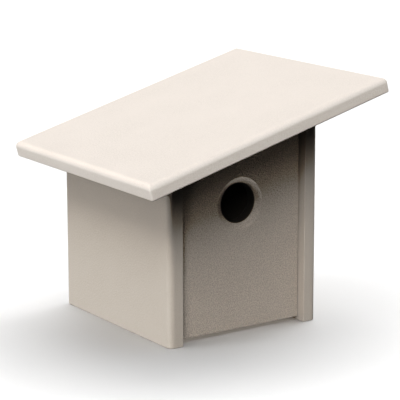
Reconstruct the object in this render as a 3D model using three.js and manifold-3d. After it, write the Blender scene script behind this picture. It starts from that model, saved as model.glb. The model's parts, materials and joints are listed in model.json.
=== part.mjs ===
// A nest box for small birds, with a single-slope roof, cut from one thickness of
// plastic sheet. The front panel is a clean-out door that hangs on two pivot screws.
//
// Millimetres, +Z up, front towards -Y. While the pieces are made, X = 0 is midway
// between the side panels and Y = 0 is midway along them. The last step moves the
// whole box so that the origin lies on the ground under the middle of its extents.

import * as THREE from 'three';
import { mergeVertices } from 'three/addons/utils/BufferGeometryUtils.js';
import Module from 'manifold-3d';

// ---- Driving dimensions -------------------------------------------------------

const sheet = 12.7; // every panel, and the square section of every cleat
const bodyWidth = 144; // over the side panels
const bodyDepth = 159.4; // side panels, front edge to back edge
const eaveHeight = 144.3; // ground to the roof's underside, at the low side panel
const roofPitch = THREE.MathUtils.degToRad(15);
const lowOverhang = 45.2; // roof past the low side panel, along the slope
const highOverhang = 38; // roof past the high side panel, along the slope
const frontOverhang = 44.6; // roof past the side panels' front edges

const roofTopRound = 4.6;
const roofUnderRound = 1.3;
const roofCornerRound = 2;
const sideEdgeRound = 5.2; // outer upright edges of the side panels

const doorRecess = 7.3; // door's face behind the side panels' front edges
const groundGap = 3.5; // under the door, the back panel and the floor cleats
const ventGap = 6; // between the door's top edge and the roof
const doorSideGap = 1; // each side of the door
const pivotDrop = 16; // pivots below the roof's underside at the low side panel

const entranceRadius = 15.875; // for a 32 mm class hole
const entranceChamferWidth = 5.7; // on the outside, across the door's face
const entranceChamferDepth = 3.5;
const entranceHeight = 106.3; // ground to the hole's centre

const kerfWidth = 3; // climbing kerfs sawn across the door's inner face
const kerfDepth = 1.6;
const kerfLength = 60;
const kerfPitch = 11;
const kerfCount = 5;

const drainRadius = 4;
const drainSpreadX = 60; // between the drain holes' centres
const drainSpreadY = 70;

const keyholeHeadRadius = 5; // lets a wall screw's head through
const keyholeSlotWidth = 5.4;
const keyholeSlotRise = 12;
const keyholeDrop = 34; // slot's head opening below the roof, at the middle
const fixingHoleRadius = 2.6; // lower screw that stops the box swinging
const fixingHoleHeight = 45;

const screwSkin = 3.5; // panel left past the tip of a countersunk screw
const screwShankRadius = 2;
const screwHeadRadius = 3.8;
const screwRim = 0.5; // straight part of the head above its cone
const screwTip = 3;
const screwSink = 0.2; // head below the surface
const screwInset = 10; // first screw from a cleat's end
const screwStagger = 16; // between a wall screw and the next crossing screw

const pivotShankRadius = 2.1;
const pivotBite = 12.7; // length of the shank inside the door
const pivotHeadRadius = 4;
const pivotHeadHeight = 2.8;
const washerRadius = 5.5;
const washerThickness = 1;

const pinRadius = 2;
const pinTravel = 7; // from drawn back to locked
const pinDrop = 8; // below the door's top edge, at its high side
const pinBite = 5.5; // length inside the door when locked
const knobRadius = 3.5;
const knobLength = 5;

// ---- Clearances ---------------------------------------------------------------

const seam = 0.3; // between pieces that touch
const screwClearance = 0.15; // round a screw in its hole
const pivotClearance = 0.3; // round a pivot screw in its side panel
const pinClearance = 0.25; // round the lock pin
const swingClearance = 4; // between the door's top edge and the roof cleats
const tipClearance = 0.5; // past the end of a screw or pin

const overcut = 1; // how far a cutter stands out of what it cuts

// ---- Places worked out from them ------------------------------------------------

const lowFace = -bodyWidth / 2;
const innerX = bodyWidth / 2 - sheet;
const frontY = -bodyDepth / 2;
const backY = bodyDepth / 2;
const cavityBackY = backY - sheet;

const doorFrontY = frontY + doorRecess;
const doorBackY = doorFrontY + sheet;
const doorHalfWidth = innerX - doorSideGap;
const pivotY = doorFrontY + sheet / 2;
const pivotZ = eaveHeight - pivotDrop;

const rise = Math.tan(roofPitch);
const upright = 1 / Math.cos(roofPitch); // vertical height of one unit across the slope
const underside = (x) => eaveHeight + (x - lowFace) * rise;
const doorTop = (x) => underside(x) - ventGap;

const cleatX = innerX - seam - sheet / 2;
const cleatRoofSide = (x) => underside(x) - seam * upright;
const cleatRoofBase = (x) => cleatRoofSide(x) - sheet * upright;
const floorCleatZ = groundGap + sheet / 2;
const floorBottom = groundGap + sheet + seam;
const floorFrontY = doorBackY + seam;
const cleatBackY = cavityBackY - seam;
const lockZ = doorTop(doorHalfWidth) - pinDrop;

// Each countersunk screw goes through one thickness of sheet and most of the next
const screwLength = 2 * sheet + seam - screwSink - screwSkin;
const pivotStandOff = 2 * seam + washerThickness; // head's seat to the side panel's face
const pivotShankLength = pivotStandOff + sheet + doorSideGap + pivotBite;

// How far behind the pivots the door's top edge reaches, at the height of a cleat's base
function doorSweep(x) {
  const radius = Math.hypot(sheet / 2, doorTop(x) - pivotZ);
  const height = Math.max(0, cleatRoofBase(x) - pivotZ);
  return Math.sqrt(Math.max(0, radius * radius - height * height));
}
const sweptX = [-cleatX - sheet / 2, -cleatX + sheet / 2, cleatX - sheet / 2, cleatX + sheet / 2];
const roofCleatFrontY = pivotY + Math.max(...sweptX.map(doorSweep)) + swingClearance;

const sides = [
  { name: 'left', sign: -1 },
  { name: 'right', sign: 1 },
];

// ---- Solids and booleans --------------------------------------------------------

const wasm = await Module();
wasm.setup();

function solidFrom(geometry) {
  const bare = geometry.clone();
  bare.deleteAttribute('normal');
  bare.deleteAttribute('uv');
  const merged = mergeVertices(bare, 1e-4);
  return new wasm.Manifold(new wasm.Mesh({
    numProp: 3,
    vertProperties: new Float32Array(merged.attributes.position.array),
    triVerts: new Uint32Array(merged.index.array),
  }));
}

function geometryFrom(solid) {
  const mesh = solid.getMesh();
  const geometry = new THREE.BufferGeometry();
  geometry.setAttribute('position', new THREE.BufferAttribute(mesh.vertProperties, 3));
  geometry.setIndex(new THREE.BufferAttribute(mesh.triVerts, 1));
  geometry.computeVertexNormals();
  return geometry;
}

function block([x0, y0, z0], [x1, y1, z1]) {
  const geometry = new THREE.BoxGeometry(x1 - x0, y1 - y0, z1 - z0);
  geometry.translate((x0 + x1) / 2, (y0 + y1) / 2, (z0 + z1) / 2);
  return solidFrom(geometry);
}

// An outline of [x, z] points, extruded from yFront back to yBack
function bar(outline, yFront, yBack) {
  const shape = new THREE.Shape(outline.map(([x, z]) => new THREE.Vector2(x, z)));
  const geometry = new THREE.ExtrudeGeometry(shape, { depth: yBack - yFront, bevelEnabled: false });
  geometry.rotateX(Math.PI / 2);
  geometry.translate(0, yBack, 0);
  return solidFrom(geometry);
}

// A turned shape. The profile is [radius, distance] points along the direction of travel.
function turned(profile, segments) {
  const points = profile.map(([radius, distance]) => new THREE.Vector2(radius, distance));
  return new THREE.LatheGeometry(points, segments);
}

// Moves a turned shape from the Y axis to a place and direction
function aim(geometry, place, direction) {
  const turn = new THREE.Quaternion().setFromUnitVectors(new THREE.Vector3(0, 1, 0), direction);
  return geometry.clone().applyQuaternion(turn).translate(place.x, place.y, place.z);
}

function drill(radius, from, to, segments = 16) {
  const along = to.clone().sub(from);
  const profile = [[0, 0], [radius, 0], [radius, along.length()], [0, along.length()]];
  return solidFrom(aim(turned(profile, segments), from, along.normalize()));
}

// ---- Panels ---------------------------------------------------------------------

const solids = {};

// The roof is made in its own frame, with X up the slope and Z square to it. Its
// underside meets the low side panel's outer face at the eave height.
const roofPlace = new THREE.Matrix4()
  .makeTranslation(lowFace, 0, eaveHeight)
  .multiply(new THREE.Matrix4().makeRotationY(-roofPitch));

function roofPanel() {
  const lowEdge = -lowOverhang;
  const highEdge = bodyWidth * upright + highOverhang;
  const frontEdge = frontY - frontOverhang;

  const outline = new THREE.Shape([
    new THREE.Vector2(lowEdge, frontEdge),
    new THREE.Vector2(highEdge, frontEdge),
    new THREE.Vector2(highEdge, backY),
    new THREE.Vector2(lowEdge, backY),
  ]);
  const roundedSlab = (low, high, round) => solidFrom(new THREE.ExtrudeGeometry(outline, {
    depth: high - low - 2 * round,
    bevelThickness: round,
    bevelSize: round,
    bevelOffset: -round,
    bevelSegments: 4,
  }).translate(0, 0, low + round));

  const corner = roofCornerRound;
  const plan = new THREE.Shape()
    .absarc(highEdge - corner, backY - corner, corner, 0, Math.PI / 2)
    .absarc(lowEdge + corner, backY - corner, corner, Math.PI / 2, Math.PI)
    .absarc(lowEdge + corner, frontEdge + corner, corner, Math.PI, Math.PI * 1.5)
    .absarc(highEdge - corner, frontEdge + corner, corner, Math.PI * 1.5, Math.PI * 2);
  const planSlab = new THREE.ExtrudeGeometry(plan, {
    depth: sheet + 2 * overcut,
    bevelEnabled: false,
    curveSegments: 4,
  }).translate(0, 0, -overcut);

  const roundOnTop = roundedSlab(-2 * roofTopRound, sheet, roofTopRound);
  const roundBelow = roundedSlab(0, sheet + 2 * roofUnderRound, roofUnderRound);
  const slab = roundOnTop.intersect(roundBelow).intersect(solidFrom(planSlab));
  return solidFrom(geometryFrom(slab).applyMatrix4(roofPlace));
}

// Plan with two rounded outer edges, cut off along the slope of the roof
function sidePanel(sign) {
  const outerX = bodyWidth / 2;
  const round = sideEdgeRound;
  const plan = new THREE.Shape()
    .moveTo(innerX, frontY)
    .lineTo(outerX - round, frontY)
    .absarc(outerX - round, frontY + round, round, -Math.PI / 2, 0)
    .absarc(outerX - round, backY - round, round, 0, Math.PI / 2)
    .lineTo(innerX, backY)
    .getPoints(6)
    .map((point) => new THREE.Vector2(sign * point.x, point.y));
  const height = underside(outerX);
  const post = new THREE.ExtrudeGeometry(new THREE.Shape(plan), { depth: height, bevelEnabled: false });

  const nearX = sign * innerX;
  const farX = sign * (outerX + overcut);
  const envelope = bar([
    [nearX, 0],
    [farX, 0],
    [farX, cleatRoofSide(farX)],
    [nearX, cleatRoofSide(nearX)],
  ], frontY - overcut, backY + overcut);
  return solidFrom(post).intersect(envelope);
}

// A turned cutter for the entrance: a wide chamfer on the outside, then a straight bore
function entranceCutter() {
  const outerRadius = entranceRadius + entranceChamferWidth;
  const profile = [
    [0, -overcut],
    [outerRadius, -overcut],
    [outerRadius, 0],
    [entranceRadius, entranceChamferDepth],
    [entranceRadius, sheet + overcut],
    [0, sheet + overcut],
  ];
  const place = new THREE.Vector3(0, doorFrontY, entranceHeight);
  return solidFrom(turned(profile, 40).translate(place.x, place.y, place.z));
}

function frontPanel() {
  let panel = bar([
    [-doorHalfWidth, groundGap],
    [doorHalfWidth, groundGap],
    [doorHalfWidth, doorTop(doorHalfWidth)],
    [-doorHalfWidth, doorTop(-doorHalfWidth)],
  ], doorFrontY, doorBackY);
  panel = panel.subtract(entranceCutter());

  const topKerfZ = entranceHeight - entranceRadius - kerfPitch;
  for (let row = 0; row < kerfCount; row += 1) {
    const z = topKerfZ - row * kerfPitch;
    panel = panel.subtract(block(
      [-kerfLength / 2, doorBackY - kerfDepth, z - kerfWidth / 2],
      [kerfLength / 2, doorBackY + overcut, z + kerfWidth / 2],
    ));
  }
  return panel;
}

function backPanel() {
  const half = innerX - seam;
  let panel = bar([
    [-half, groundGap],
    [half, groundGap],
    [half, cleatRoofSide(half)],
    [-half, cleatRoofSide(-half)],
  ], cavityBackY, backY);

  const headZ = underside(0) - keyholeDrop;
  const slotHalf = keyholeSlotWidth / 2;
  const shoulder = Math.acos(slotHalf / keyholeHeadRadius);
  const keyhole = new THREE.Shape()
    .absarc(0, headZ, keyholeHeadRadius, shoulder, -Math.PI - shoulder, true)
    .absarc(0, headZ + keyholeSlotRise, slotHalf, Math.PI, 0, true)
    .getPoints(8)
    .map((point) => [point.x, point.y]);
  panel = panel.subtract(bar(keyhole, cavityBackY - overcut, backY + overcut));

  const from = new THREE.Vector3(0, cavityBackY - overcut, fixingHoleHeight);
  const to = new THREE.Vector3(0, backY + overcut, fixingHoleHeight);
  return panel.subtract(drill(fixingHoleRadius, from, to));
}

function floorPanel() {
  const half = innerX - seam;
  const middleY = (floorFrontY + cleatBackY) / 2;
  let panel = block([-half, floorFrontY, floorBottom], [half, cleatBackY, floorBottom + sheet]);
  for (const x of [-drainSpreadX / 2, drainSpreadX / 2]) {
    for (const y of [middleY - drainSpreadY / 2, middleY + drainSpreadY / 2]) {
      const from = new THREE.Vector3(x, y, floorBottom - overcut);
      const to = new THREE.Vector3(x, y, floorBottom + sheet + overcut);
      panel = panel.subtract(drill(drainRadius, from, to));
    }
  }
  return panel;
}

function roofCleat(sign) {
  const nearX = sign * (cleatX - sheet / 2);
  const farX = sign * (cleatX + sheet / 2);
  return bar([
    [nearX, cleatRoofBase(nearX)],
    [farX, cleatRoofBase(farX)],
    [farX, cleatRoofSide(farX)],
    [nearX, cleatRoofSide(nearX)],
  ], roofCleatFrontY, cleatBackY);
}

function floorCleat(sign) {
  const xs = [sign * (cleatX - sheet / 2), sign * (cleatX + sheet / 2)];
  return block(
    [Math.min(...xs), floorFrontY, groundGap],
    [Math.max(...xs), cleatBackY, groundGap + sheet],
  );
}

solids.roof_panel = roofPanel();
solids.front_panel = frontPanel();
solids.back_panel = backPanel();
solids.floor_panel = floorPanel();
for (const { name, sign } of sides) {
  solids[`${name}_side_panel`] = sidePanel(sign);
  solids[`${name}_roof_cleat`] = roofCleat(sign);
  solids[`${name}_floor_cleat`] = floorCleat(sign);
}

// ---- Countersunk screws -----------------------------------------------------------

// Head first, with room around it by a clearance, and starting above or at its top
function screwProfile(clearance, above) {
  const coneEnd = screwRim + screwHeadRadius - screwShankRadius;
  const tipStart = screwLength - screwTip;
  return [
    [0, -above],
    [screwHeadRadius + clearance, -above],
    [screwHeadRadius + clearance, screwRim + clearance],
    [screwShankRadius + clearance, coneEnd + clearance],
    [screwShankRadius + clearance, tipStart + clearance],
    [0, screwLength + tipClearance * Math.sign(clearance)],
  ];
}
const screwSegments = 12;
const screwShape = turned(screwProfile(0, 0), screwSegments);
const screwHole = turned(screwProfile(screwClearance, overcut), screwSegments);

// Each screw: its name, the point where it enters, its direction and the pieces it joins
const screws = [];

// A pair of screws through the middle of a cleat into a panel. The start is the middle of
// the cleat's front end, and the rear screw stays clear of the back panel's screws.
function addPair(cleat, panel, label, start, direction, stagger) {
  const rows = {
    front: start.y + screwInset + stagger,
    rear: cleatBackY - (screwLength - sheet) - screwInset - screwStagger + stagger,
  };
  for (const [row, y] of Object.entries(rows)) {
    const entry = new THREE.Vector3(start.x, y, start.z).addScaledVector(direction, -sheet / 2);
    screws.push({ name: `${cleat}_${label}_screw_${row}`, entry, direction, joins: [cleat, panel] });
  }
}

const up = new THREE.Vector3(0, 0, 1);
const forwards = new THREE.Vector3(0, -1, 0);
const roofNormal = new THREE.Vector3(-Math.sin(roofPitch), 0, Math.cos(roofPitch));

for (const { name, sign } of sides) {
  const x = sign * cleatX;
  const outwards = new THREE.Vector3(sign, 0, 0);
  const roofCleatZ = (cleatRoofBase(x) + cleatRoofSide(x)) / 2;
  const roofStart = new THREE.Vector3(x, roofCleatFrontY, roofCleatZ);
  const floorStart = new THREE.Vector3(x, floorFrontY, floorCleatZ);
  const cleats = [
    { use: 'roof', level: 'upper', start: roofStart, crossing: roofNormal },
    { use: 'floor', level: 'lower', start: floorStart, crossing: up },
  ];
  for (const { use, level, start, crossing } of cleats) {
    const cleat = `${name}_${use}_cleat`;
    addPair(cleat, `${name}_side_panel`, 'wall', start, outwards, 0);
    addPair(cleat, `${use}_panel`, use, start, crossing, screwStagger);
    screws.push({
      name: `back_screw_${level}_${name}`,
      entry: new THREE.Vector3(x, backY, start.z),
      direction: forwards,
      joins: ['back_panel', cleat],
    });
  }
}

for (const screw of screws) {
  screw.head = screw.entry.clone().addScaledVector(screw.direction, screwSink);
  const hole = solidFrom(aim(screwHole, screw.head, screw.direction));
  for (const piece of screw.joins) {
    solids[piece] = solids[piece].subtract(hole);
  }
}

// ---- Door pivots and lock pin --------------------------------------------------------

const pivotShape = turned([
  [0, -pivotHeadHeight],
  [pivotHeadRadius * 0.75, -pivotHeadHeight],
  [pivotHeadRadius, -pivotHeadHeight * 0.55],
  [pivotHeadRadius, 0],
  [pivotShankRadius, 0],
  [pivotShankRadius, pivotShankLength - screwTip],
  [0, pivotShankLength],
], 16);

const washerShape = turned([
  [pivotShankRadius + pivotClearance, 0],
  [washerRadius, 0],
  [washerRadius, washerThickness],
  [pivotShankRadius + pivotClearance, washerThickness],
  [pivotShankRadius + pivotClearance, 0],
], 16);

const pivots = sides.map(({ name, sign }) => ({
  name,
  direction: new THREE.Vector3(-sign, 0, 0),
  face: new THREE.Vector3(sign * bodyWidth / 2, pivotY, pivotZ),
}));
for (const pivot of pivots) {
  pivot.seat = pivot.face.clone().addScaledVector(pivot.direction, -pivotStandOff);
  pivot.washer = pivot.face.clone().addScaledVector(pivot.direction, -seam - washerThickness);

  const end = pivot.seat.clone().addScaledVector(pivot.direction, pivotShankLength + tipClearance);
  const wall = `${pivot.name}_side_panel`;
  solids[wall] = solids[wall].subtract(drill(pivotShankRadius + pivotClearance, pivot.seat, end));
  const doorHole = drill(pivotShankRadius + screwClearance, pivot.seat, end);
  solids.front_panel = solids.front_panel.subtract(doorHole);
}

// The lock pin is shown drawn back, so its end is still inside the high side panel.
// Pushed in by its travel it enters the hole in the door's edge.
const lockedTipX = doorHalfWidth - pinBite;
const pinTipX = lockedTipX + pinTravel;
const knobFaceX = bodyWidth / 2 + tipClearance + pinTravel;
const pinLength = knobFaceX - pinTipX;
const pinShape = turned([
  [0, -knobLength],
  [knobRadius * 0.7, -knobLength],
  [knobRadius, -knobLength * 0.75],
  [knobRadius, -knobLength * 0.35],
  [knobRadius * 0.7, 0],
  [pinRadius, 0],
  [pinRadius, pinLength - pinRadius / 2],
  [pinRadius / 2, pinLength],
  [0, pinLength],
], 16);
const pinHead = new THREE.Vector3(knobFaceX, pivotY, lockZ);
const inwards = new THREE.Vector3(-1, 0, 0);
const pinHole = drill(
  pinRadius + pinClearance,
  pinHead,
  new THREE.Vector3(lockedTipX - tipClearance, pivotY, lockZ),
);
solids.right_side_panel = solids.right_side_panel.subtract(pinHole);
solids.front_panel = solids.front_panel.subtract(pinHole);

// ---- Assembly ------------------------------------------------------------------------

const roofPlastic = { color: 0xe3dcd4, roughness: 0.62, metalness: 0 };
const bodyPlastic = { color: 0xd8cfc5, roughness: 0.62, metalness: 0 };
const steel = { color: 0xb9bbbd, roughness: 0.32, metalness: 1 };

function piece(name, geometry, look) {
  const mesh = new THREE.Mesh(geometry, new THREE.MeshStandardMaterial(look));
  mesh.name = name;
  return mesh;
}

function placed(name, shape, place, direction) {
  const mesh = piece(name, shape, steel);
  mesh.position.copy(place);
  mesh.quaternion.setFromUnitVectors(new THREE.Vector3(0, 1, 0), direction);
  return mesh;
}

const box = new THREE.Group();
const door = new THREE.Group();
const lock = new THREE.Group();

for (const [name, solid] of Object.entries(solids)) {
  const look = name === 'roof_panel' ? roofPlastic : bodyPlastic;
  const owner = name === 'front_panel' ? door : box;
  owner.add(piece(name, geometryFrom(solid), look));
}
for (const screw of screws) {
  box.add(placed(screw.name, screwShape, screw.head, screw.direction));
}
for (const pivot of pivots) {
  door.add(placed(`${pivot.name}_pivot_screw`, pivotShape, pivot.seat, pivot.direction));
  box.add(placed(`${pivot.name}_pivot_washer`, washerShape, pivot.washer, pivot.direction));
}
lock.add(placed('lock_pin', pinShape, pinHead, inwards));

// The origin goes on the ground, under the middle of the box's extents
const birdhouse = new THREE.Group();
birdhouse.add(box, door, lock);
const middle = new THREE.Box3().setFromObject(birdhouse, true).getCenter(new THREE.Vector3());
birdhouse.position.set(-middle.x, -middle.y, 0);

export default birdhouse;
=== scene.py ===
"""Nest box in sand-coloured plastic sheet: finished pieces, materials, light and camera."""

import json
import math

import bmesh
import bpy
from mathutils import Matrix, Quaternion, Vector


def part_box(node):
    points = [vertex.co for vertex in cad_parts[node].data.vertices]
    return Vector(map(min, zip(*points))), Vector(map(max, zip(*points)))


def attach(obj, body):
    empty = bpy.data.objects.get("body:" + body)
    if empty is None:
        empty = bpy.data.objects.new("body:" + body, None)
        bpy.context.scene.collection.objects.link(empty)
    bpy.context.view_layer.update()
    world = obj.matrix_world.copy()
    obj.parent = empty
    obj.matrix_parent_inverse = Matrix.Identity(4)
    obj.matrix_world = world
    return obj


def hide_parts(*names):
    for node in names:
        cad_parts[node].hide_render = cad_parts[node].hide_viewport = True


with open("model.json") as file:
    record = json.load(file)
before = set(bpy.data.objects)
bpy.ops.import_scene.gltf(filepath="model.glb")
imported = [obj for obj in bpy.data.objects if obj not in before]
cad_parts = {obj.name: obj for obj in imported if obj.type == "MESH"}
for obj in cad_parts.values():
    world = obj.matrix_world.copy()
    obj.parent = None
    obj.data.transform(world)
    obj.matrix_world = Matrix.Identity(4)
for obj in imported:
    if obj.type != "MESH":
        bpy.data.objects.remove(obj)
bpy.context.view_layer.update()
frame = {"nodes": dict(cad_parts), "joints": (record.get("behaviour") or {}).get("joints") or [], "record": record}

MM = 0.001
QUARTER_TURN = math.pi / 2
ORIGIN = Vector((0, 0, 0))
X, Y, Z = Vector((1, 0, 0)), Vector((0, 1, 0)), Vector((0, 0, 1))

# ---- Sizes that the frame gives ------------------------------------------------------------

left_lo, left_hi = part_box("left_side_panel")
right_lo, right_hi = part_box("right_side_panel")
door_lo, door_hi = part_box("front_panel")
back_lo, back_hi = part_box("back_panel")
floor_lo, floor_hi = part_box("floor_panel")
pin_lo, pin_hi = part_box("lock_pin")

SHEET = right_hi.x - right_lo.x
SLOPE = (right_hi.z - left_hi.z) / (right_hi.x - left_hi.x)
PITCH = math.atan(SLOPE)
UP_SLOPE = Vector((math.cos(PITCH), 0, math.sin(PITCH)))
ROOF_NORMAL = Vector((-math.sin(PITCH), 0, math.cos(PITCH)))
BODY_MIDDLE = Vector(((left_lo.x + right_hi.x) / 2, (left_lo.y + left_hi.y) / 2, 0))
PIN_TRAVEL = next(j for j in frame["joints"] if j["name"] == "lock_pin_slide")["range_m"][1]
PIN_LENGTH = pin_hi.x - pin_lo.x
PIN_START = Vector((pin_hi.x, (pin_lo.y + pin_hi.y) / 2, (pin_lo.z + pin_hi.z) / 2))  # its knob's end

# ---- Sizes of the finish -------------------------------------------------------------------

ROOF_TOP_ROUND = 4.75 * MM
ROOF_UNDER_ROUND = 1.36 * MM
ROOF_CORNER = 2.0 * MM
SIDE_ROUND = 5.2 * MM  # outer upright edges of the side panels
EASE = 0.5 * MM  # every other edge of the panels and cleats
LEAST_CORNER = 0.25 * MM
HOLE_EASE = 0.35 * MM

ENTRANCE_RADIUS = 15.875 * MM
ENTRANCE_HEIGHT = 106.3 * MM
CHAMFER_WIDTH = 5.7 * MM
CHAMFER_DEPTH = 3.5 * MM
MOUTH_ROUND = 1.0 * MM  # where the chamfer meets the bore
ENTRANCE_INNER_ROUND = 0.8 * MM
KERF_WIDTH = 3.0 * MM
KERF_DEPTH = 1.6 * MM
KERF_LENGTH = 60 * MM
KERF_PITCH = 11 * MM
KERF_COUNT = 5
KERF_EASE = 0.25 * MM
KERF_END_ROUND = 0.49 * KERF_WIDTH

KEYHOLE_HEAD = 5.0 * MM
KEYHOLE_SLOT = 2.7 * MM
KEYHOLE_RISE = 12 * MM
KEYHOLE_DROP = 34 * MM
FIXING_RADIUS = 2.6 * MM
FIXING_HEIGHT = 45 * MM
DRAIN_RADIUS = 4.0 * MM
DRAIN_SPREAD = (60 * MM, 70 * MM)

SCREW_DIRECTIONS = {"roof_screw": ROOF_NORMAL, "floor_screw": Z, "back_screw": -Y}
SCREW_LENGTH = (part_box("back_screw_lower_left")[1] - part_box("back_screw_lower_left")[0]).y
SCREW_TIP = 3.0 * MM
HEAD_RADIUS = 3.8 * MM
HEAD_RIM = 0.5 * MM
HEAD_EASE = 0.15 * MM
SHANK_RADIUS = 2.0 * MM
SCREW_ROOM = 0.15 * MM
RECESS_REACH = 2.1 * MM
RECESS_DEPTH = 1.6 * MM
RECESS_WIDTH = 0.85 * MM
RECESS_TAPER = (0.35, 0.6)  # at the bottom, of its reach and of its width

PIVOT_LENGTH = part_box("left_pivot_screw")[1].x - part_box("left_pivot_screw")[0].x
PIVOT_SHANK = 2.1 * MM
PIVOT_ROOM = 0.3 * MM
PIVOT_HEAD = 4.0 * MM
PIVOT_HEAD_HEIGHT = 2.8 * MM
PIVOT_CROWN = 0.8 * PIVOT_HEAD_HEIGHT  # the domed part of it
WASHER_EASE = 0.15 * MM
PIN_RADIUS = 2.0 * MM
PIN_ROOM = 0.25 * MM
PIN_KNOB_RADIUS = 3.5 * MM
PIN_KNOB_LENGTH = 5.0 * MM
PIN_KNOB_END = 0.62 * PIN_KNOB_RADIUS

OVERCUT = 1.0 * MM  # how far a tool stands out of the face that it cuts
DEPTH_ROOM = 0.5 * MM  # beyond the end of a screw or the pin

# Facets around a turned shape
ENTRANCE_FACETS = 96
ROUND_FACETS = 48
SCREW_FACETS = 40
DRILL_FACETS = 32

# ---- Looks ---------------------------------------------------------------------------------

# One sand plastic in three shades: the roof's is painted lighter, and the body's and the door's darker, as painted
# light and shade
ROOF_SAND_LIT = (0.725, 0.668, 0.612)
BODY_SAND_SHADED = (0.515, 0.465, 0.41)
DOOR_SAND_SHADED = (0.42, 0.37, 0.318)
STEEL_COLOUR = (0.60, 0.60, 0.61)
FLOOR_COLOUR = (0.85, 0.85, 0.85)
DOOR_GRAIN = 0.7

# Tints multiply a colour's red, green and blue
MOTTLE_DARK = (0.965, 0.96, 0.95)
MOTTLE_LIGHT = (1.02, 1.02, 1.02)
SPECK_SMOOTH = 1.03
SPECK_GRAIN = (0.42, 0.42, 0.43)  # added to it at full grain
# Painted highlight: edges tinted paler, as if they caught the light
EDGE_HIGHLIGHT_TINT = (1.09, 1.10, 1.12)
# Painted shade: the tint that darkens the inside of the entrance's bore
BORE_PAINTED_SHADE = (0.2, 0.2, 0.2)
SMEAR_DARK = (0.88, 0.88, 0.89)
SMEAR_LIGHT = (1.05, 1.05, 1.05)

# Noise scales, in cells a metre
MOTTLE_SCALE = 28
SWELL_SCALE = 55
HIGHLIGHT_NOISE_SCALE = 160
SMEAR_SCALE = 350
PEBBLE_SCALE = 700
SPECK_SCALE = 1080
STEEL_GRAIN_SCALE = 4200

HIGHLIGHT_REACH = 1.2 * MM
SWELL_DEPTH = 0.25 * MM
PEBBLE_DEPTH = 0.3 * MM
PEBBLE_DEPTH_GRAIN = 1.6 * MM  # added to it at full grain
STEEL_GRAIN_DEPTH = 0.02 * MM

FLOOR_REACH = 12  # metres, like the dome's radius
DOME_RADIUS = 10

# ---- Camera and light ----------------------------------------------------------------------

AZIMUTH, ELEVATION, ROLL = -34.40, 13.07, -0.11  # degrees
DISTANCE = 1.5169  # metres
LENS = 164.49  # millimetres
AIM = BODY_MIDDLE + Vector((0.01117, 0, 0.09395))

SUNS = {
    # name: (azimuth and elevation it shines from, angular size, strength, what it lights)
    "front_left": (-45, 46, 28, 2.6, "object"),
    "front_left_low": (-40, 28, 25, 0.85, "object"),
    "high_right": (45, 60, 30, 0.45, "object"),
    "front_right": (45, 40, 30, 0.2, "object"),
    "low_left": (-112, 9, 25, 1.7, "object"),
    "rear_right": (120, 10, 30, 1.7, "object"),
    "rear": (180, 10, 30, 0.5, "object"),
    "floor_left": (-110, 9, 25, 1.5, "floor"),
    "floor_overhead": (0, 90, 80, 2.3, "floor"),
    "floor_rear": (140, 62, 45, 1.2, "floor"),
    "floor_right": (90, 42, 40, 0.8, "floor"),
    "floor_bounce": (-65, -82, 5, 2.2, "front_panel"),
}
SKY_STRENGTH = 0.008

# Points of a curve on the linear values, which deepens the shadows
TONE_CURVE = [(0.045, 0.017), (0.12, 0.095), (0.28, 0.245), (0.53, 0.52), (0.91, 0.885)]


def seen_from(azimuth, elevation):
    """The direction towards a camera or a sun. Azimuth 0 is in front, and 90 to the right."""
    a, e = math.radians(azimuth), math.radians(elevation)
    return Vector((math.sin(a) * math.cos(e), -math.cos(a) * math.cos(e), math.sin(e)))


def add_camera():
    data = bpy.data.cameras.new("camera")
    data.lens = LENS
    data.sensor_width = 36
    data.clip_start = 0.05
    data.clip_end = 50
    camera = bpy.data.objects.new("camera", data)
    bpy.context.scene.collection.objects.link(camera)
    back = seen_from(AZIMUTH, ELEVATION)
    camera.location = AIM + back * DISTANCE
    look = (-back).to_track_quat("-Z", "Y") @ Quaternion(Z, math.radians(ROLL))
    camera.rotation_euler = look.to_euler()
    bpy.context.scene.camera = camera


def limit_light(light, lit, floor, door):
    """Makes a light fall on the floor alone, on the door alone, or on all but the floor."""
    receivers = bpy.data.collections.new(f"lit_by_{light.name}")
    receivers.objects.link(door if lit == "front_panel" else floor)
    light.light_linking.receiver_collection = receivers
    if lit == "object":
        receivers.collection_objects[0].light_linking.link_state = "EXCLUDE"


def add_light(floor, door):
    """Suns of a wide angle, as soft boxes far away. The floor has its own, so that the
    shadows around the foot stay soft however the faces are lit."""
    for name, (azimuth, elevation, size, strength, lit) in SUNS.items():
        data = bpy.data.lights.new(name, "SUN")
        data.angle = math.radians(size)
        data.energy = strength
        light = bpy.data.objects.new(name, data)
        bpy.context.scene.collection.objects.link(light)
        source = seen_from(azimuth, elevation)
        light.rotation_euler = (-source).to_track_quat("-Z", "Y").to_euler()
        limit_light(light, lit, floor, door)
    world = bpy.data.worlds.new("sky")
    world.use_nodes = True
    background = world.node_tree.nodes["Background"]
    background.inputs["Color"].default_value = (1, 1, 1, 1)
    background.inputs["Strength"].default_value = SKY_STRENGTH
    bpy.context.scene.world = world


def set_tone():
    view = bpy.context.scene.view_settings
    view.view_transform = "Standard"
    view.use_curve_mapping = True
    for point in TONE_CURVE:
        view.curve_mapping.curves[3].points.new(*point)
    view.curve_mapping.update()
    view.look = "None"


# ---- Materials -----------------------------------------------------------------------------


def new_material(name):
    material = bpy.data.materials.new(name)
    material.use_nodes = True
    return material, material.node_tree.nodes["Principled BSDF"]


def new_textured_material(name):
    material, shader = new_material(name)
    nodes, links = material.node_tree.nodes, material.node_tree.links
    place = nodes.new("ShaderNodeTexCoord").outputs["Object"]
    return material, nodes, links, shader, place


def tinted(colour, tint):
    return tuple(value * factor for value, factor in zip(colour, tint))


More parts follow.
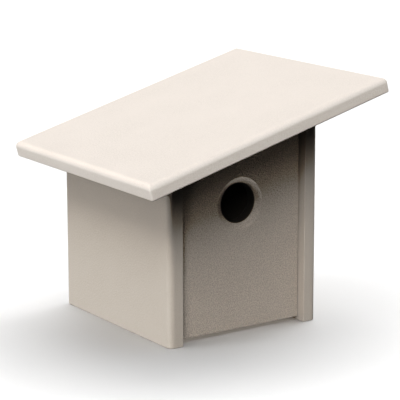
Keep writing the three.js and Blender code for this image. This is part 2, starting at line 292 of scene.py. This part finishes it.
def noise(nodes, links, place, scale, detail=3.0, roughness=0.5):
    node = nodes.new("ShaderNodeTexNoise")
    node.inputs["Scale"].default_value = scale
    node.inputs["Detail"].default_value = detail
    node.inputs["Roughness"].default_value = roughness
    links.new(place, node.inputs["Vector"])
    return node.outputs["Fac"]


def spread(nodes, links, value, low, high, start=0.3, end=0.7):
    """Stretches a value from start..end, where most of a noise lies, to low..high."""
    node = nodes.new("ShaderNodeMapRange")
    node.inputs["From Min"].default_value = start
    node.inputs["From Max"].default_value = end
    node.inputs["To Min"].default_value = low
    node.inputs["To Max"].default_value = high
    links.new(value, node.inputs["Value"])
    return node.outputs["Result"]


def blend_colours(nodes, links, factor, low, high):
    node = nodes.new("ShaderNodeMix")
    node.data_type = "RGBA"
    links.new(factor, node.inputs["Factor"])
    for socket, colour in zip((node.inputs[6], node.inputs[7]), (low, high)):
        if hasattr(colour, "links"):
            links.new(colour, socket)
        else:
            socket.default_value = (*colour, 1)
    return node.outputs[2]


def edge_mask(nodes, links, reach):
    """1 on an edge, where a highlight is painted, and 0 on a flat face."""
    bevel = nodes.new("ShaderNodeBevel")
    bevel.samples = 6
    bevel.inputs["Radius"].default_value = reach
    geometry = nodes.new("ShaderNodeNewGeometry")
    dot = nodes.new("ShaderNodeVectorMath")
    dot.operation = "DOT_PRODUCT"
    links.new(bevel.outputs["Normal"], dot.inputs[0])
    links.new(geometry.outputs["Normal"], dot.inputs[1])
    return spread(nodes, links, dot.outputs["Value"], 0, 1, 0.995, 0.90)


def bore_shade_mask(nodes, links, place):
    """1 on the entrance's bore, which is darkened there as painted shade, and 0 from its mouth outwards."""
    flat = nodes.new("ShaderNodeVectorMath")
    flat.operation = "MULTIPLY"
    flat.inputs[1].default_value = (1, 0, 1)
    links.new(place, flat.inputs[0])
    distance = nodes.new("ShaderNodeVectorMath")
    distance.operation = "DISTANCE"
    distance.inputs[1].default_value = (BODY_MIDDLE.x, 0, ENTRANCE_HEIGHT)
    links.new(flat.outputs[0], distance.inputs[0])
    # The painted shade fades in from the mouth into the bore
    shade_start, shade_full = ENTRANCE_RADIUS + 0.9 * MM, ENTRANCE_RADIUS + 0.1 * MM
    return spread(nodes, links, distance.outputs["Value"], 0, 1, shade_start, shade_full)


def add_bump(nodes, links, shader, layers):
    """Layers are (height, strength, depth in metres), finest last."""
    normal = None
    for height, strength, depth in layers:
        bump = nodes.new("ShaderNodeBump")
        bump.inputs["Strength"].default_value = strength
        bump.inputs["Distance"].default_value = depth
        links.new(height, bump.inputs["Height"])
        if normal is not None:
            links.new(normal, bump.inputs["Normal"])
        normal = bump.outputs["Normal"]
    links.new(normal, shader.inputs["Normal"])


def plastic(name, colour, grain=0.0):
    """Coloured polyethylene sheet: a fine pebbled skin, faint mottling, and edges painted paler as highlights.
    The grain is 0 on the sheet's smoother side and up to 1 on its rougher one, which the door turns outwards.
    Where there is a grain, the entrance's bore is darkened as painted shade."""
    material, nodes, links, shader, place = new_textured_material(name)
    mottle = noise(nodes, links, place, MOTTLE_SCALE, detail=4)
    final = blend_colours(
        nodes, links, spread(nodes, links, mottle, 0, 1),
        tinted(colour, MOTTLE_DARK), tinted(colour, MOTTLE_LIGHT))

    speck = noise(nodes, links, place, SPECK_SCALE, detail=1)
    speck_tint = [SPECK_SMOOTH + more * grain for more in SPECK_GRAIN]
    final = blend_colours(
        nodes, links, spread(nodes, links, speck, 0, 1, 0.40, 0.62),
        final, tinted(colour, speck_tint))

    # Painted highlight along the edges, in patches
    highlight_noise = noise(nodes, links, place, HIGHLIGHT_NOISE_SCALE)
    edge_highlight = nodes.new("ShaderNodeMath")
    edge_highlight.operation = "MULTIPLY"
    links.new(edge_mask(nodes, links, HIGHLIGHT_REACH), edge_highlight.inputs[0])
    links.new(spread(nodes, links, highlight_noise, 0, 0.55), edge_highlight.inputs[1])
    final = blend_colours(nodes, links, edge_highlight.outputs[0], final, tinted(colour, EDGE_HIGHLIGHT_TINT))

    # Painted shade: the entrance's bore is darkened on the door
    if grain:
        bore_shade = bore_shade_mask(nodes, links, place)
        final = blend_colours(nodes, links, bore_shade, final, tinted(colour, BORE_PAINTED_SHADE))
    links.new(final, shader.inputs["Base Color"])

    links.new(spread(nodes, links, mottle, 0.50, 0.62), shader.inputs["Roughness"])
    shader.inputs["IOR"].default_value = 1.5
    shader.inputs["Specular IOR Level"].default_value = 0.05
    swell = noise(nodes, links, place, SWELL_SCALE, detail=2)
    pebble = noise(nodes, links, place, PEBBLE_SCALE, detail=2.5, roughness=0.6)
    add_bump(nodes, links, shader, [
        (swell, 0.25, SWELL_DEPTH),
        (pebble, 1.0, PEBBLE_DEPTH + PEBBLE_DEPTH_GRAIN * grain),
    ])
    return material


def stainless(name, colour):
    """Stainless steel, faintly smeared, with a fine grain."""
    material, nodes, links, shader, place = new_textured_material(name)
    smear = noise(nodes, links, place, SMEAR_SCALE, detail=3)
    tone = blend_colours(
        nodes, links, spread(nodes, links, smear, 0, 1),
        tinted(colour, SMEAR_DARK), tinted(colour, SMEAR_LIGHT))
    links.new(tone, shader.inputs["Base Color"])
    shader.inputs["Metallic"].default_value = 1.0
    links.new(spread(nodes, links, smear, 0.26, 0.42), shader.inputs["Roughness"])
    fine = noise(nodes, links, place, STEEL_GRAIN_SCALE, detail=2)
    add_bump(nodes, links, shader, [(fine, 0.2, STEEL_GRAIN_DEPTH)])
    return material


# The roof's plastic is painted lighter and the body's and door's darker, as painted light and shade
roof_plastic = plastic("roof_plastic", ROOF_SAND_LIT)
body_plastic = plastic("body_plastic", BODY_SAND_SHADED)
door_plastic = plastic("door_plastic", DOOR_SAND_SHADED, DOOR_GRAIN)
steel = stainless("stainless_steel", STEEL_COLOUR)

# ---- Mesh tools ----------------------------------------------------------------------------


def arc(start, end, steps):
    """Angles from start to end, in equal steps."""
    return [start + (end - start) * step / steps for step in range(steps + 1)]


def unit(angle):
    return Vector((math.cos(angle), math.sin(angle)))


def along_x_z(x, z, y):
    """Places an outline's point that is drawn in X and Z at a distance along Y."""
    return Vector((x, y, z))


def rectangle(x0, y0, x1, y1):
    return [(x0, y0), (x1, y0), (x1, y1), (x0, y1)]


def rounded_outline(corners, radii, inset, steps):
    """A convex outline, counter-clockwise, moved in by inset, with its corners rounded.
    A corner's radius shrinks by the inset, so that the outlines stay parallel."""
    count = len(corners)
    lines = []
    for i in range(count):
        a, b = Vector(corners[i]), Vector(corners[(i + 1) % count])
        along = (b - a).normalized()
        inwards = Vector((-along.y, along.x))
        lines.append((a + inwards * inset, along, inwards))
    points = []
    for i in range(count):
        here, along, inwards = lines[i - 1]
        there, next_along, _ = lines[i]
        cross = along.x * next_along.y - along.y * next_along.x
        gap = there - here
        reach = (gap.x * next_along.y - gap.y * next_along.x) / cross
        corner = here + along * reach
        radius = max(radii[i] - inset, LEAST_CORNER)
        turn = math.atan2(cross, along.dot(next_along))
        centre = corner - along * (radius * math.tan(turn / 2)) + inwards * radius
        first = math.atan2(-inwards.y, -inwards.x)
        points += [centre + unit(angle) * radius for angle in arc(first, first + turn, steps)]
    return points


def round_stations(length, low_round, high_round, steps):
    """(inset, distance) pairs along a slab's thickness, round at both ends."""
    low = [
        (low_round * (1 - math.sin(angle)), low_round * (1 - math.cos(angle)))
        for angle in arc(0, QUARTER_TURN, steps)
    ]
    high = [
        (high_round * (1 - math.sin(angle)), length - high_round * (1 - math.cos(angle)))
        for angle in arc(QUARTER_TURN, 0, steps)
    ]
    return low + high


def loft(rings):
    """A closed bmesh through rings of points, with a flat face at each end."""
    bm = bmesh.new()
    rings = [[bm.verts.new(point) for point in ring] for ring in rings]
    count = len(rings[0])
    for low, high in zip(rings, rings[1:]):
        for i in range(count):
            j = (i + 1) % count
            bm.faces.new((low[i], low[j], high[j], high[i]))
    bm.faces.new(list(reversed(rings[0])))
    bm.faces.new(rings[-1])
    bmesh.ops.recalc_face_normals(bm, faces=bm.faces)
    return bm


def slab(corners, radii, stations, to_row, steps=6):
    """A bmesh lofted through an outline's insets. to_row places a point of the outline."""
    return loft([
        [to_row(p.x, p.y, distance) for p in rounded_outline(corners, radii, inset, steps)]
        for inset, distance in stations
    ])


def lathe(profile, facets, place=ORIGIN, direction=Z):
    """A bmesh turned about a direction. The profile is (radius, distance) points, and it
    starts and ends on the axis."""
    turn = Z.rotation_difference(direction).to_matrix()
    bm = bmesh.new()
    rings = []
    for radius, distance in profile:
        angles = arc(0, 2 * math.pi, facets)[:-1] if radius else [0]
        points = [(radius * math.cos(a), radius * math.sin(a), distance) for a in angles]
        rings.append([bm.verts.new(place + turn @ Vector(point)) for point in points])
    for low, high in zip(rings, rings[1:]):
        for i in range(facets):
            j = (i + 1) % facets
            corners = [low[i % len(low)], low[j % len(low)], high[j % len(high)], high[i % len(high)]]
            face = list(dict.fromkeys(corners))
            if len(face) > 2:
                bm.faces.new(face)
    bmesh.ops.recalc_face_normals(bm, faces=bm.faces)
    return bm


def hole_profile(radius, depth):
    """A drill that leaves a small round at both faces. It starts above the near face."""
    near, far = [], []
    for angle in arc(QUARTER_TURN, 0, 3):
        width = radius + HOLE_EASE * (1 - math.cos(angle))
        near.append((width, HOLE_EASE * (1 - math.sin(angle))))
        far.append((width, depth - HOLE_EASE * (1 - math.sin(angle))))
    start = [(0, -OVERCUT), (radius + HOLE_EASE, -OVERCUT)]
    end = [(radius + HOLE_EASE, depth + OVERCUT), (0, depth + OVERCUT)]
    return start + near + list(reversed(far)) + end


def plain_drill(radius, reach):
    return [(0, 0), (radius, 0), (radius, reach), (0, reach)]


def mesh_object(name, bm, material):
    mesh = bpy.data.meshes.new(name)
    bm.to_mesh(mesh)
    bm.free()
    mesh.materials.append(material)
    obj = bpy.data.objects.new(name, mesh)
    bpy.context.scene.collection.objects.link(obj)
    return obj


def merge(bmeshes):
    whole = bmesh.new()
    for bm in bmeshes:
        part = bpy.data.meshes.new("part")
        bm.to_mesh(part)
        bm.free()
        whole.from_mesh(part)
        bpy.data.meshes.remove(part)
    return whole


def settle(obj):
    """Applies a piece's modifiers."""
    evaluated = obj.evaluated_get(bpy.context.evaluated_depsgraph_get())
    mesh = bpy.data.meshes.new_from_object(evaluated)
    obj.modifiers.clear()
    old = obj.data
    obj.data = mesh
    mesh.name = obj.name
    bpy.data.meshes.remove(old)


def cut(obj, tool, crossing=False):
    """Cuts a tool, whose own parts may be crossing, out of a piece, and removes the tool."""
    modifier = obj.modifiers.new("cut", "BOOLEAN")
    modifier.operation = "DIFFERENCE"
    modifier.solver = "EXACT"
    modifier.use_self = crossing
    modifier.object = tool
    bpy.context.view_layer.update()
    settle(obj)
    bpy.data.objects.remove(tool)


def carve(obj, cutters):
    """Cuts a list of closed bmeshes that are clear of each other out of a piece."""
    cut(obj, mesh_object("cutter", merge(cutters), obj.data.materials[0]))


def smooth(obj, angle=31):
    """Smooth shading, with the flat faces kept flat."""
    for polygon in obj.data.polygons:
        polygon.use_smooth = True
    obj.data.set_sharp_from_angle(angle=math.radians(angle))
    modifier = obj.modifiers.new("flat_faces", "WEIGHTED_NORMAL")
    modifier.keep_sharp = True
    modifier.weight = 100


def stand_in(obj, node):
    """The finished piece takes the place of the CAD node of the same name."""
    bodies = frame["record"]["behaviour"]["bodies"]
    body = next(name for name, members in bodies.items() if node in members)
    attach(obj, body)
    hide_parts(node)


# ---- Studio --------------------------------------------------------------------------------


def add_floor():
    """It catches the shadows, and throws no light back up at the nest box."""
    bm = bmesh.new()
    bmesh.ops.create_grid(bm, x_segments=4, y_segments=4, size=FLOOR_REACH)
    material, shader = new_material("studio_floor")
    shader.inputs["Base Color"].default_value = (*FLOOR_COLOUR, 1)
    shader.inputs["Roughness"].default_value = 0.9
    shader.inputs["Specular IOR Level"].default_value = 0.1
    floor = mesh_object("studio_floor", bm, material)
    floor.visible_diffuse = False
    floor.visible_shadow = False
    return floor


def add_backdrop():
    """A white dome, seen behind the floor and in the steel, that lights no matt face."""
    bm = bmesh.new()
    bmesh.ops.create_uvsphere(bm, u_segments=64, v_segments=32, radius=DOME_RADIUS)
    material, shader = new_material("backdrop")
    shader.inputs["Base Color"].default_value = (0, 0, 0, 1)
    shader.inputs["Emission Color"].default_value = (1, 1, 1, 1)
    shader.inputs["Emission Strength"].default_value = 1.0
    dome = mesh_object("backdrop", bm, material)
    dome.visible_diffuse = False
    dome.visible_shadow = False


# ---- Holes ---------------------------------------------------------------------------------


def entrance_cutter():
    """A wide chamfer with a crisp outer edge, a softened mouth, and an eased inner edge."""
    outer = ENTRANCE_RADIUS + CHAMFER_WIDTH
    tilt = math.atan2(CHAMFER_DEPTH, CHAMFER_WIDTH)
    mouth_end = CHAMFER_DEPTH + MOUTH_ROUND * math.tan((QUARTER_TURN - tilt) / 2)
    profile = [(0, -OVERCUT), (outer, -OVERCUT), (outer, 0)]
    for lean in arc(tilt, QUARTER_TURN, 6):
        profile.append((
            ENTRANCE_RADIUS + MOUTH_ROUND * (1 - math.sin(lean)),
            mouth_end - MOUTH_ROUND * math.cos(lean),
        ))
    for angle in arc(0, QUARTER_TURN, 4):
        profile.append((
            ENTRANCE_RADIUS + ENTRANCE_INNER_ROUND * (1 - math.cos(angle)),
            SHEET - ENTRANCE_INNER_ROUND * (1 - math.sin(angle)),
        ))
    profile += [(ENTRANCE_RADIUS + ENTRANCE_INNER_ROUND, SHEET + OVERCUT), (0, SHEET + OVERCUT)]
    return lathe(profile, ENTRANCE_FACETS, Vector((BODY_MIDDLE.x, door_lo.y, ENTRANCE_HEIGHT)), Y)


def kerf_cutters():
    """Saw kerfs across the door's inner face, with round ends where the blade lifts out."""
    half, width = KERF_LENGTH / 2, KERF_WIDTH / 2
    bottom = door_hi.y - KERF_DEPTH
    stations = [(KERF_EASE, bottom), (0, bottom + KERF_EASE), (0, door_hi.y + OVERCUT)]
    top = ENTRANCE_HEIGHT - ENTRANCE_RADIUS - KERF_PITCH
    cutters = []
    for row in range(KERF_COUNT):
        z = top - row * KERF_PITCH
        corners = rectangle(BODY_MIDDLE.x - half, z - width, BODY_MIDDLE.x + half, z + width)
        cutters.append(slab(corners, [KERF_END_ROUND] * 4, stations, along_x_z))
    return cutters


def keyhole_cutter():
    """A round opening for a screw's head, with a slot for its shank above it."""
    roof_middle = left_hi.z + (BODY_MIDDLE.x - left_hi.x) * SLOPE
    head = Vector((BODY_MIDDLE.x, roof_middle - KEYHOLE_DROP))
    slot_end = head + Vector((0, KEYHOLE_RISE))
    shoulder = math.acos(KEYHOLE_SLOT / KEYHOLE_HEAD)
    outline = [head + unit(angle) * KEYHOLE_HEAD for angle in arc(-math.pi - shoulder, shoulder, 28)]
    outline += [slot_end + unit(angle) * KEYHOLE_SLOT for angle in arc(0, math.pi, 12)]
    faces = (back_lo.y - OVERCUT, back_hi.y + OVERCUT)
    return loft([[along_x_z(p.x, p.y, y) for p in outline] for y in faces])


def fixing_cutter():
    place = Vector((BODY_MIDDLE.x, back_lo.y, FIXING_HEIGHT))
    return lathe(hole_profile(FIXING_RADIUS, SHEET), SCREW_FACETS, place, Y)


def drain_cutters():
    middle = (floor_lo + floor_hi) / 2
    cutters = []
    for side in (-0.5, 0.5):
        for end in (-0.5, 0.5):
            x = middle.x + side * DRAIN_SPREAD[0]
            y = middle.y + end * DRAIN_SPREAD[1]
            drain = hole_profile(DRAIN_RADIUS, SHEET)
            cutters.append(lathe(drain, ROUND_FACETS, Vector((x, y, floor_lo.z)), Z))
    return cutters


# ---- Panels --------------------------------------------------------------------------------


def side_panel(name, material, holes):
    lo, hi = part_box(name)
    outer, inner = SIDE_ROUND, EASE
    left, right = (outer, inner) if name.startswith("left") else (inner, outer)
    height = hi.z - lo.z

    def to_row(x, y, distance):
        lean = (x - hi.x) * SLOPE if distance > height / 2 else 0
        return Vector((x, y, lo.z + distance + lean))

    corners = rectangle(lo.x, lo.y, hi.x, hi.y)
    stations = round_stations(height, EASE, EASE, steps=4)
    bm = slab(corners, [left, right, right, left], stations, to_row, steps=8)
    obj = mesh_object(name, bm, material)
    carve(obj, holes)
    return obj


def extrusion(name, material, holes, corners, radius, steps):
    """A piece with an outline in X and Z, along the whole of its box in Y."""
    lo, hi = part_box(name)
    stations = [
        (inset, lo.y + distance)
        for inset, distance in round_stations(hi.y - lo.y, EASE, EASE, steps)
    ]
    obj = mesh_object(name, slab(corners, [radius] * 4, stations, along_x_z), material)
    carve(obj, holes)
    return obj


def upright_panel(name, material, holes):
    """A panel with a level foot and a top that follows the roof."""
    lo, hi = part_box(name)
    rise = (hi.x - lo.x) * SLOPE
    corners = [(lo.x, lo.z), (hi.x, lo.z), (hi.x, hi.z), (lo.x, hi.z - rise)]
    return extrusion(name, material, holes, corners, LEAST_CORNER + EASE, 4)


def roof_cleat(name, material, holes):
    """A cleat whose top and underside both follow the roof."""
    lo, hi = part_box(name)
    rise = (hi.x - lo.x) * SLOPE
    corners = [(lo.x, lo.z), (hi.x, lo.z + rise), (hi.x, hi.z), (lo.x, hi.z - rise)]
    return extrusion(name, material, holes, corners, EASE, 3)


def level_panel(name, material, holes):
    lo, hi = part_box(name)

    def to_row(x, y, distance):
        return Vector((x, y, lo.z + distance))

    corners = rectangle(lo.x, lo.y, hi.x, hi.y)
    stations = round_stations(hi.z - lo.z, EASE, EASE, steps=3)
    bm = slab(corners, [EASE + LEAST_CORNER] * 4, stations, to_row)
    obj = mesh_object(name, bm, material)
    carve(obj, holes)
    return obj


def roof_panel(name, material, holes):
    """The slab's length, up the slope, and its thickness are measured on the CAD node."""
    vertices = [v.co for v in frame["nodes"][name].data.vertices]
    low_u, high_u = (pick(co.dot(UP_SLOPE) for co in vertices) for pick in (min, max))
    low_n, high_n = (pick(co.dot(ROOF_NORMAL) for co in vertices) for pick in (min, max))
    lo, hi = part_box(name)

    def to_row(u, y, distance):
        return UP_SLOPE * u + Y * y + ROOF_NORMAL * (low_n + distance)

    corners = rectangle(low_u, lo.y, high_u, hi.y)
    stations = round_stations(high_n - low_n, ROOF_UNDER_ROUND, ROOF_TOP_ROUND, steps=10)
    bm = slab(corners, [ROOF_CORNER] * 4, stations, to_row, steps=8)
    obj = mesh_object(name, bm, material)
    carve(obj, holes)
    return obj


def make_panels(holes):
    """Every panel and cleat, by its node's name."""
    plans = [
        ("roof_panel", roof_panel, roof_plastic),
        ("front_panel", upright_panel, door_plastic),
        ("back_panel", upright_panel, body_plastic),
        ("floor_panel", level_panel, body_plastic),
    ]
    for side in ("left", "right"):
        plans += [
            (f"{side}_side_panel", side_panel, body_plastic),
            (f"{side}_roof_cleat", roof_cleat, body_plastic),
            (f"{side}_floor_cleat", level_panel, body_plastic),
        ]
    panels = {node: maker(node, material, holes[node]) for node, maker, material in plans}
    for node, obj in panels.items():
        smooth(obj)
        stand_in(obj, node)
    return panels


# ---- Screws, found on the frame ------------------------------------------------------------


def screw_direction(node):
    """From the screw's head to its tip. Those named in no other way go sideways, into a wall."""
    for word, direction in SCREW_DIRECTIONS.items():
        if word in node:
            return direction
    return X if node.startswith("right") else -X


def joined_pieces(node):
    """The two pieces that a countersunk screw holds together, from its name."""
    words = node.split("_")
    if node.startswith("back_screw"):
        cleat = "roof" if words[2] == "upper" else "floor"
        return ["back_panel", f"{words[3]}_{cleat}_cleat"]
    target = f"{words[0]}_side_panel" if words[3] == "wall" else f"{words[3]}_panel"
    return ["_".join(words[:3]), target]


def head_centre(node, direction):
    """The middle of a turned CAD node's first end along a direction."""
    tolerance = 0.02 * MM
    vertices = [v.co for v in frame["nodes"][node].data.vertices]
    start = min(co.dot(direction) for co in vertices)
    ends = [co for co in vertices if co.dot(direction) < start + tolerance]
    return sum(ends, Vector()) / len(ends)


def countersunk_profile(room=0.0):
    """The screw's outline, or with room that of its hole, which starts above the head."""
    cone = HEAD_RIM + HEAD_RADIUS - SHANK_RADIUS
    if room:
        head = [(0, -OVERCUT), (HEAD_RADIUS + room, -OVERCUT)]
        end = SCREW_LENGTH + DEPTH_ROOM
    else:
        head = [(0, 0), (HEAD_RADIUS - HEAD_EASE, 0), (HEAD_RADIUS, HEAD_EASE)]
        end = SCREW_LENGTH
    return head + [
        (HEAD_RADIUS + room, HEAD_RIM + room),
        (SHANK_RADIUS + room, cone + room),
        (SHANK_RADIUS + room, SCREW_LENGTH - SCREW_TIP + room),
        (0, end),
    ]


def pan_head_profile():
    """A screw with a domed head, flat underneath."""
    dome = [
        (PIVOT_HEAD * math.sin(angle), PIVOT_CROWN * (1 - math.cos(angle)))
        for angle in arc(0, QUARTER_TURN, 8)
    ]
    return dome + [
        (PIVOT_HEAD, PIVOT_HEAD_HEIGHT),
        (PIVOT_SHANK, PIVOT_HEAD_HEIGHT),
        (PIVOT_SHANK, PIVOT_LENGTH - SCREW_TIP),
        (0, PIVOT_LENGTH),
    ]


def cross_recess():
    """Two crossed, tapered blades, for a cross-head driver, standing up out of z = 0."""
    blades = bmesh.new()
    for turn in (0, QUARTER_TURN):
        made = bmesh.ops.create_cube(blades, size=1)["verts"]
        for vertex in made:
            deep = vertex.co.z > 0
            vertex.co.x *= 2 * RECESS_REACH * (RECESS_TAPER[0] if deep else 1)
            vertex.co.y *= RECESS_WIDTH * (RECESS_TAPER[1] if deep else 1)
            vertex.co.z = RECESS_DEPTH if deep else -OVERCUT
        bmesh.ops.rotate(blades, verts=made, cent=ORIGIN, matrix=Matrix.Rotation(turn, 3, "Z"))
    return blades


def drill_screw_holes(holes):
    """Adds the countersunk screws' holes. Returns each screw's head and direction."""
    places = {}
    for node in frame["nodes"]:
        if "screw" not in node or "pivot" in node:
            continue
        direction = screw_direction(node)
        head = head_centre(node, direction)
        places[node] = (head, direction)
        for piece in joined_pieces(node):
            drill = countersunk_profile(SCREW_ROOM)
            holes[piece].append(lathe(drill, DRILL_FACETS, head, direction))
    return places


def drill_pivot_holes(holes):
    """Loose holes in the side panels and tight ones in the door, for the pivot screws."""
    places = {}
    for side, direction in (("left", X), ("right", -X)):
        node = f"{side}_pivot_screw"
        start = head_centre(node, direction)
        places[node] = (start, direction)
        reach = PIVOT_LENGTH + DEPTH_ROOM
        for piece, room in ((f"{side}_side_panel", PIVOT_ROOM), ("front_panel", SCREW_ROOM)):
            drill = plain_drill(PIVOT_SHANK + room, reach)
            holes[piece].append(lathe(drill, DRILL_FACETS, start, direction))
    return places


def add_screws(name, profile, places, angle):
    """Copies of a screw with a cross recess, each with its head's place and its direction."""
    screw = mesh_object(name, lathe(profile, SCREW_FACETS), steel)
    cut(screw, mesh_object("recess", cross_recess(), steel), crossing=True)
    smooth(screw, angle)
    for node, (head, direction) in places.items():
        copy = screw.copy()
        copy.name = node
        bpy.context.scene.collection.objects.link(copy)
        turn = Z.rotation_difference(direction).to_matrix().to_4x4()
        copy.matrix_world = Matrix.Translation(head) @ turn
        stand_in(copy, node)
    bpy.data.objects.remove(screw)


def washer(node):
    """A flat ring about X, with its edges eased."""
    lo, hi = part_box(node)
    centre = (lo + hi) / 2
    inner, outer = PIVOT_SHANK + PIVOT_ROOM, (hi.z - lo.z) / 2
    thick = hi.x - lo.x
    loop = [
        (inner, WASHER_EASE), (inner + WASHER_EASE, 0),
        (outer - WASHER_EASE, 0), (outer, WASHER_EASE),
        (outer, thick - WASHER_EASE), (outer - WASHER_EASE, thick),
        (inner + WASHER_EASE, thick), (inner, thick - WASHER_EASE),
    ]
    bm = bmesh.new()
    rings = []
    for angle in arc(0, 2 * math.pi, ROUND_FACETS)[:-1]:
        y, z = math.cos(angle), math.sin(angle)
        rings.append([bm.verts.new((lo.x + d, centre.y + r * y, centre.z + r * z)) for r, d in loop])
    for a, b in zip(rings, rings[1:] + rings[:1]):
        for k in range(len(loop)):
            m = (k + 1) % len(loop)
            bm.faces.new((a[k], a[m], b[m], b[k]))
    bmesh.ops.recalc_face_normals(bm, faces=bm.faces)
    obj = mesh_object(node, bm, steel)
    smooth(obj, 50)
    stand_in(obj, node)


# ---- Lock pin ------------------------------------------------------------------------------


def drill_pin_holes(holes):
    """One straight hole through the side panel into the door, deep enough for a shut pin."""
    reach = PIN_LENGTH + PIN_TRAVEL + DEPTH_ROOM
    for piece in ("right_side_panel", "front_panel"):
        drill = plain_drill(PIN_RADIUS + PIN_ROOM, reach)
        holes[piece].append(lathe(drill, DRILL_FACETS, PIN_START, -X))


def lock_pin():
    """A turned pin with a bulging knob and a rounded end."""
    profile = [(0, 0), (PIN_KNOB_END, 0)]
    for angle in arc(0, math.pi, 8):
        profile.append((
            PIN_KNOB_RADIUS * (0.70 + 0.30 * math.sin(angle)),
            PIN_KNOB_LENGTH * (0.06 + 0.88 * angle / math.pi),
        ))
    profile += [(PIN_KNOB_END, PIN_KNOB_LENGTH), (PIN_RADIUS, PIN_KNOB_LENGTH)]
    for angle in arc(0, QUARTER_TURN, 5):
        profile.append((
            PIN_RADIUS * (0.5 + 0.5 * math.cos(angle)),
            PIN_LENGTH - PIN_RADIUS * 0.5 * (1 - math.sin(angle)),
        ))
    profile.append((0, PIN_LENGTH))
    obj = mesh_object("lock_pin", lathe(profile, ROUND_FACETS, PIN_START, -X), steel)
    smooth(obj, 35)
    stand_in(obj, "lock_pin")


# ---- Build ---------------------------------------------------------------------------------

add_camera()

holes = {node: [] for node in frame["nodes"]}
screw_places = drill_screw_holes(holes)
pivot_places = drill_pivot_holes(holes)
drill_pin_holes(holes)
holes["front_panel"] += [entrance_cutter(), *kerf_cutters()]
holes["back_panel"] += [keyhole_cutter(), fixing_cutter()]
holes["floor_panel"] += drain_cutters()

panels = make_panels(holes)
add_light(add_floor(), panels["front_panel"])
add_backdrop()
add_screws("countersunk_screw", countersunk_profile(), screw_places, 30)
add_screws("pan_screw", pan_head_profile(), pivot_places, 35)
for side in ("left", "right"):
    washer(f"{side}_pivot_washer")
lock_pin()
set_tone()
